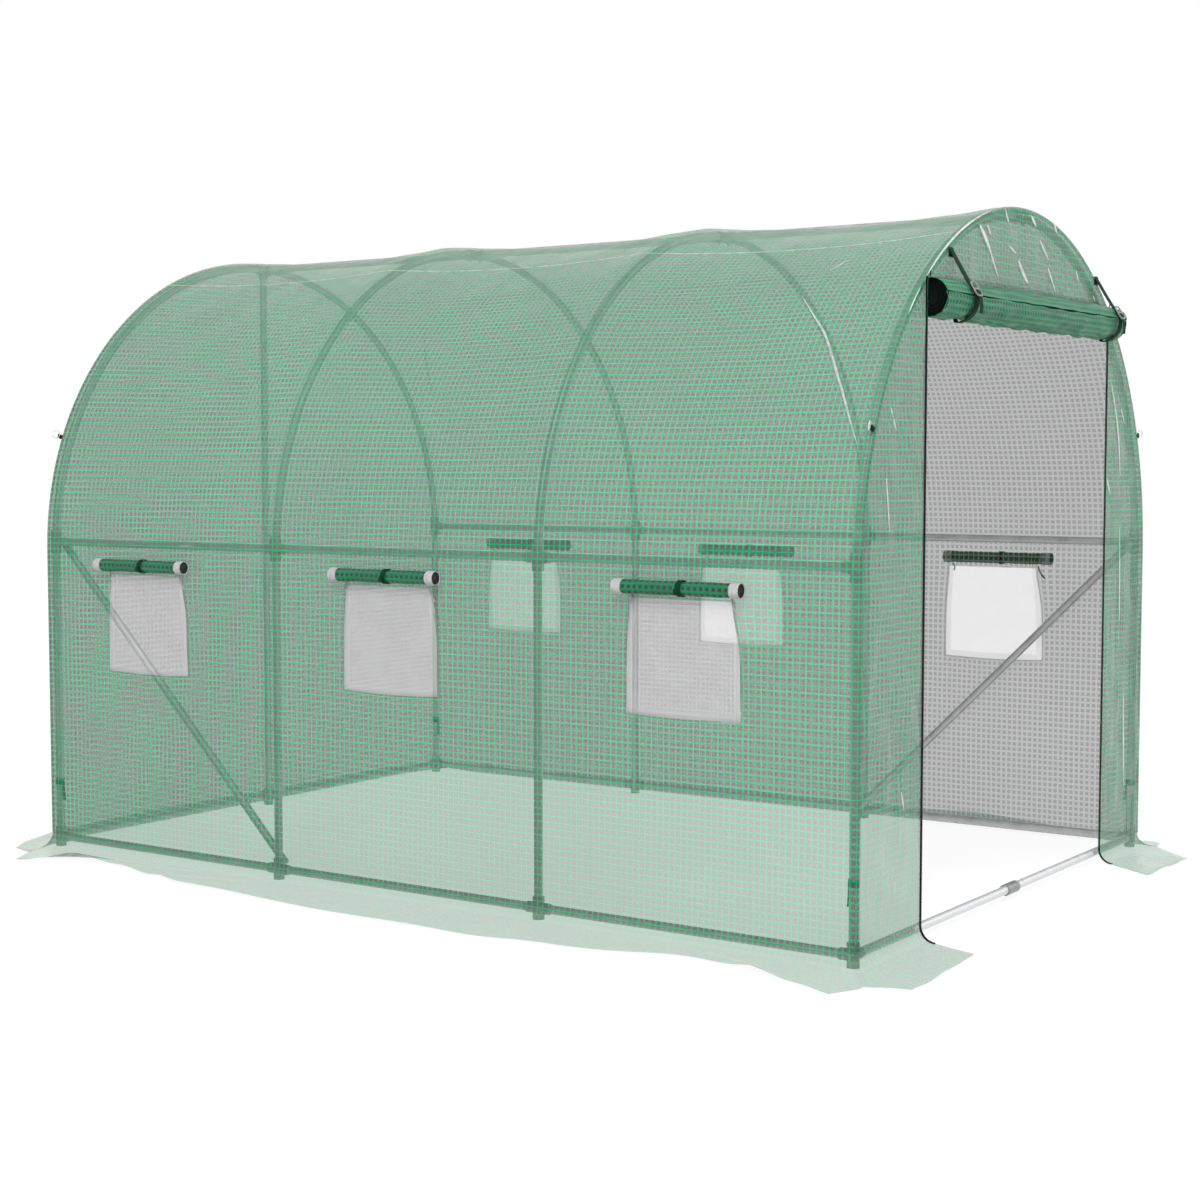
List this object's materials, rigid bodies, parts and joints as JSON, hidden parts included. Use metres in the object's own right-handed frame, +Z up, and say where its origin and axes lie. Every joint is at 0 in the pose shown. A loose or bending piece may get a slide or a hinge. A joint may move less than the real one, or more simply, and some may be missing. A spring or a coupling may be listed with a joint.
{
  "type": "polytunnel greenhouse",
  "caption": "Walk-in polytunnel greenhouse with a hooped tube frame under a gridded green film cover, a rolled-up door and netted side windows.",
  "frame": {"origin": "middle of the footprint, on the ground", "axes": "+Z up; +Y along the tunnel, away from the door end"},
  "size_m": [2.5781, 3.4782, 2.033],
  "materials": {
    "tube": "galvanised, satin",
    "joint": "galvanised, pressed",
    "cover": "clear film over a green woven scrim, soft gloss",
    "roll": "rolled film, layers of green scrim",
    "net": "fine white insect net",
    "strap": "woven webbing",
    "buckle": "moulded",
    "zip": "zip tape and teeth",
    "ring": "bright wire"
  },
  "bodies": {
    "root": {"base_rail_joints": "joint", "cover_ties": "strap", "door_buckles": "buckle", "door_roll": "roll", "door_straps": "strap", "door_zips": "zip", "front_base_rail": "tube", "front_header": "cover", "front_hoop": "tube", "front_left_panel": "cover", "front_left_skirt": "cover", "front_right_panel": "cover", "front_right_skirt": "cover", "guy_rings": "ring", "guy_tabs": "strap", "left_base_rail": "tube", "left_brace": "tube", "left_foot_joints": "joint", "left_mid_rail": "tube", "left_roof_cover": "cover", "left_shoulder_joints": "joint", "left_side_cover": "cover", "left_skirt": "cover", "left_window_meshes": "net", "left_window_rolls": "roll", "rear_base_rail": "tube", "rear_centre_post": "tube", "rear_gable_cover": "cover", "rear_hoop": "tube", "rear_skirt": "cover", "ridge_joints": "joint", "ridge_rail": "tube", "right_base_rail": "tube", "right_brace": "tube", "right_foot_joints": "joint", "right_mid_rail": "tube", "right_roof_cover": "cover", "right_shoulder_joints": "joint", "right_side_cover": "cover", "right_skirt": "cover", "right_window_meshes": "net", "right_window_rolls": "roll", "second_hoop": "tube", "third_hoop": "tube", "window_straps": "strap"}
  },
  "joints": []
}
